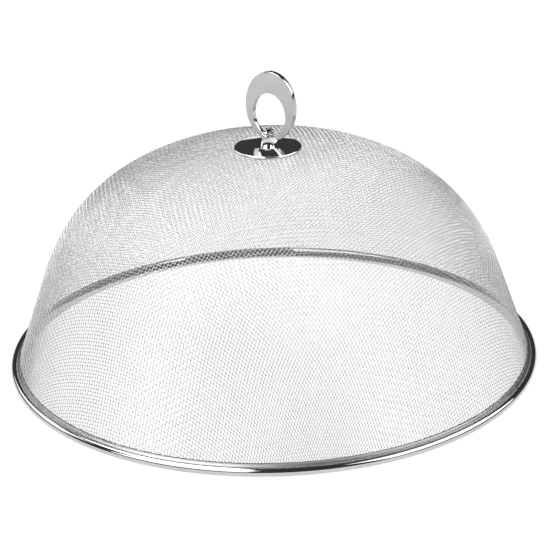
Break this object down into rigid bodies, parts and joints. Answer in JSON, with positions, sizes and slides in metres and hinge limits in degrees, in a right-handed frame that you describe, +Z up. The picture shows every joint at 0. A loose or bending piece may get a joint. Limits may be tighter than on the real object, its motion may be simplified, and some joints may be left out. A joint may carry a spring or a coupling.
{
  "type": "mesh food cover dome",
  "caption": "Round woven-wire food cover: a mesh dome in a rolled steel rim, lifted by an upright oval ring handle on a chromed base disc.",
  "frame": {"origin": "on the table under the middle of the dome, in the plane that the rim rests on", "axes": "+Z up along the dome's axis and the handle's screw; +X along the ring handle's width, on the side to which the ring leans; the ring's faces look along +Y and -Y"},
  "size_m": [0.35, 0.3498, 0.1966],
  "materials": {
    "wire_mesh": "bright drawn stainless wire, plain square weave",
    "rim_steel": "polished stainless strip",
    "core_wire": "plain drawn steel wire, hidden in the bead",
    "chrome": "mirror chrome plate",
    "ring_steel": "polished plate with softened edges",
    "fastener_steel": "plain stainless fastener"
  },
  "bodies": {
    "dome": {"mesh_dome": "wire_mesh", "rim_band": "rim_steel", "rim_wire": "core_wire", "inner_washer": "fastener_steel"},
    "handle": {"base_disc": "chrome", "handle_post": "chrome", "handle_ring": "ring_steel", "handle_screw": "fastener_steel"}
  },
  "joints": [
    {"name": "handle_swivel", "type": "hinge", "parent": "dome", "child": "handle", "pos_m": [0, 0, 0.1445], "axis": [0, 0, 1], "continuous": true}
  ]
}
